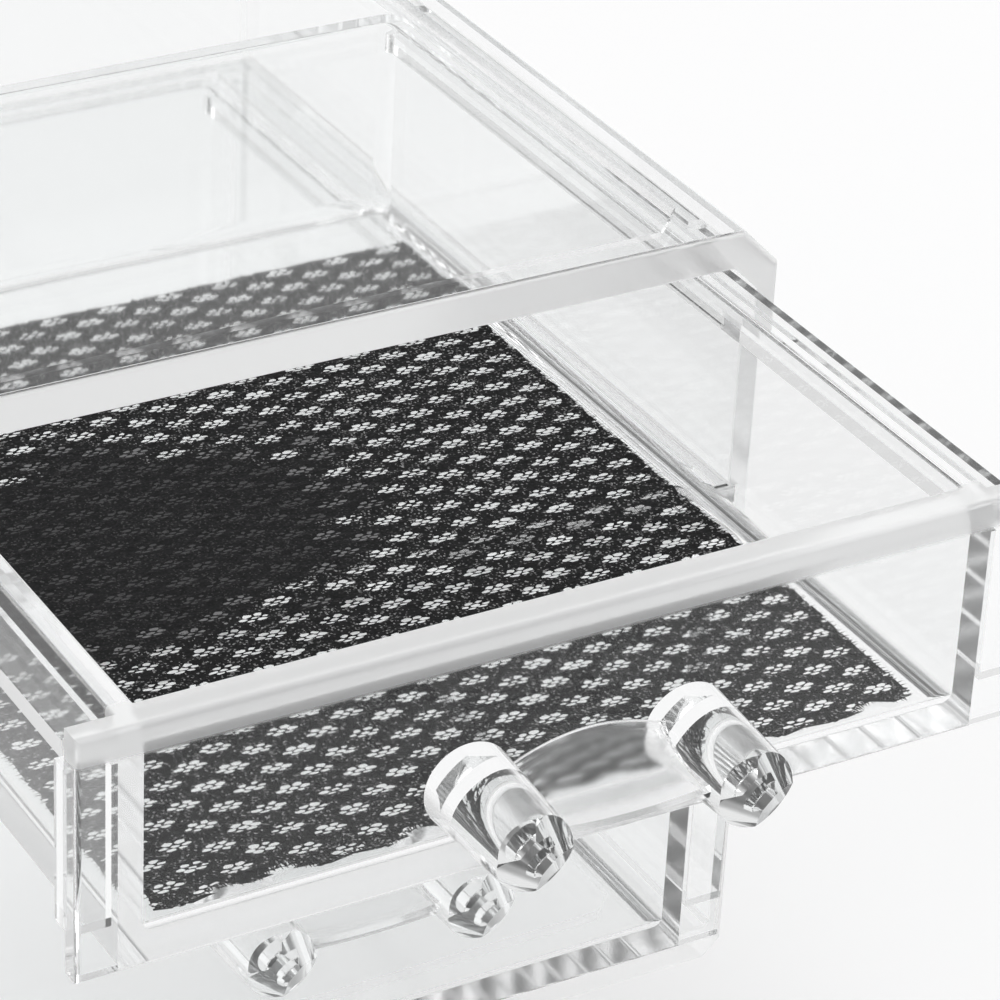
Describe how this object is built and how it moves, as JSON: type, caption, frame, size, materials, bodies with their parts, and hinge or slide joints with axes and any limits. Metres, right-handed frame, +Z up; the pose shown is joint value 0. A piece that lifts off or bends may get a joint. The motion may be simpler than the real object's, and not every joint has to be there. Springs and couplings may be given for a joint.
{
  "type": "drawer organizer box",
  "caption": "Clear plastic organizer box: a cut-corner case with a shelf, a shallow drawer over a deep one on guide rails, post-and-bow handles and a black mesh drawer liner.",
  "frame": {"origin": "middle of the plane that the case's foot rim rests on", "axes": "+Z up, drawer fronts face -Y and slide out along -Y, +X to the right seen from the front"},
  "size_m": [0.1204, 0.2068, 0.1048],
  "materials": {
    "clear_plastic": "polished clear",
    "black_mesh": "woven mesh"
  },
  "bodies": {
    "case": {"case_sleeve": "clear_plastic", "case_back": "clear_plastic", "shelf": "clear_plastic", "guide_rail_upper_left": "clear_plastic", "guide_rail_upper_right": "clear_plastic", "guide_rail_lower_left": "clear_plastic", "guide_rail_lower_right": "clear_plastic"},
    "upper_drawer_body": {"upper_drawer": "clear_plastic", "upper_handle": "clear_plastic", "mesh_liner": "black_mesh"},
    "lower_drawer_body": {"lower_drawer": "clear_plastic", "lower_handle": "clear_plastic"}
  },
  "joints": [
    {"name": "upper_slide", "type": "slide", "parent": "case", "child": "upper_drawer_body", "axis": [0, -1, 0], "range_m": [-0.053, 0.057]},
    {"name": "lower_slide", "type": "slide", "parent": "case", "child": "lower_drawer_body", "axis": [0, -1, 0], "range_m": [0, 0.11]}
  ]
}
